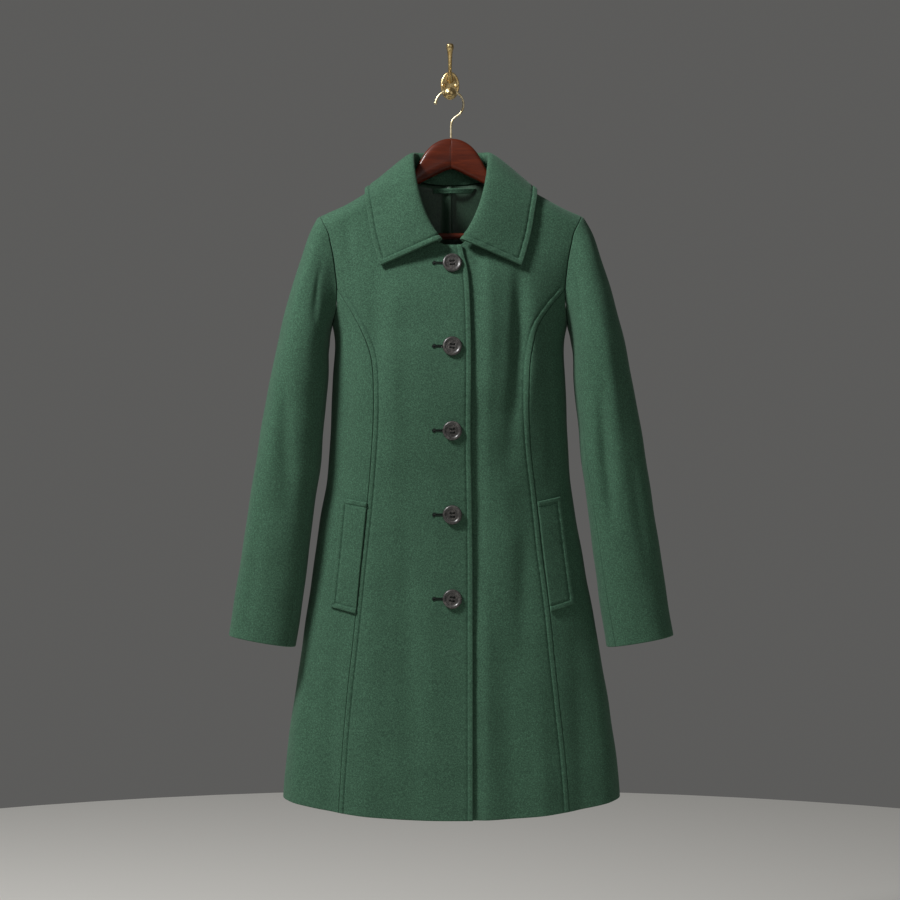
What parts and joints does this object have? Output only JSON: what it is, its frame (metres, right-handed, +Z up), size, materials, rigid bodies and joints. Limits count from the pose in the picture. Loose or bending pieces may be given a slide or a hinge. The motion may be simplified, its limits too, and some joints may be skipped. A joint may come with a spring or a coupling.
{
  "type": "wool coat on a hanger with its wall hook",
  "caption": "Single-breasted princess-seamed wool coat with pointed collar and welt pockets, hung on a wooden hanger from a brass wall hook.",
  "frame": {"origin": "middle of the wall plate's rear face, which lies on the wall", "axes": "+Z up, along the hanging coat; the wall's side of the plate is +Y, so the coat's front faces -Y; the wearer's right side is at -X"},
  "size_m": [0.6506, 0.1288, 1.1324],
  "materials": {
    "wool_melton": "felted wool, matt, heathered mid green",
    "satin_lining": "satin, dark green",
    "horn_button": "dark brown-grey horn look, polished rim",
    "mahogany": "red-brown, gloss varnish",
    "brass_wire": "pale, drawn wire, polished",
    "brass": "cast, polished"
  },
  "bodies": {
    "root": {"front_right": "wool_melton", "front_left": "wool_melton", "side_front_right": "wool_melton", "side_front_left": "wool_melton", "back_right": "wool_melton", "back_left": "wool_melton", "sleeve_upper_right": "wool_melton", "sleeve_upper_left": "wool_melton", "sleeve_under_right": "wool_melton", "sleeve_under_left": "wool_melton", "collar_upper": "wool_melton", "collar_under": "wool_melton", "welt_right": "wool_melton", "welt_left": "wool_melton", "hanging_loop": "wool_melton", "lining_back": "satin_lining", "button_1": "horn_button", "button_2": "horn_button", "button_3": "horn_button", "button_4": "horn_button", "button_5": "horn_button", "hanger_arms": "mahogany", "hanger_bar": "mahogany", "hanger_hook": "brass_wire", "wall_hook": "brass", "screw_1": "brass", "screw_2": "brass"}
  },
  "joints": []
}
